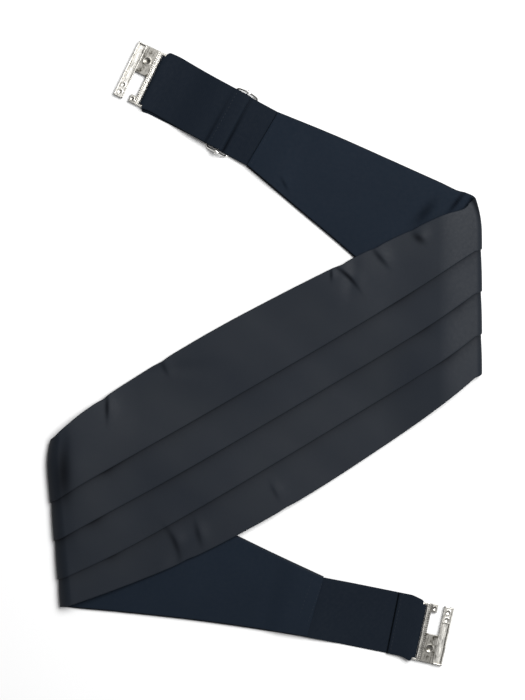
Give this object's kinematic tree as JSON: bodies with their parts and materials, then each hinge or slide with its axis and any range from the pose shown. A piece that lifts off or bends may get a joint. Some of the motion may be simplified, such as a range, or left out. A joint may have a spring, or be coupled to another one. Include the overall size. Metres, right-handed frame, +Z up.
{
  "type": "cummerbund",
  "caption": "Pleated satin waist sash laid flat with both tapered ends folded under; elastic straps, a wire slider and stamped metal clasps close it behind the waist.",
  "frame": {"origin": "on the surface that the sash lies on, under the middle of its bounding box", "axes": "+Z up out of the surface, +Y along the Z shape's longest side, from the fixed strap's clasp towards the adjustable one's, +X to the right seen from above"},
  "size_m": [0.294, 0.4224, 0.0104],
  "materials": {
    "satin": "soft satin sheen",
    "lining_cloth": "matte navy cloth",
    "webbing": "matte elastic webbing",
    "wire": "bright plated wire",
    "clasp_metal": "bright plated stamping"
  },
  "bodies": {
    "root": {"satin_front": "satin", "lining": "lining_cloth", "adjustable_strap": "webbing", "fixed_strap": "webbing", "slider_frame": "wire", "slider_bar": "wire", "adjustable_clasp": "clasp_metal", "fixed_clasp": "clasp_metal"}
  },
  "joints": []
}
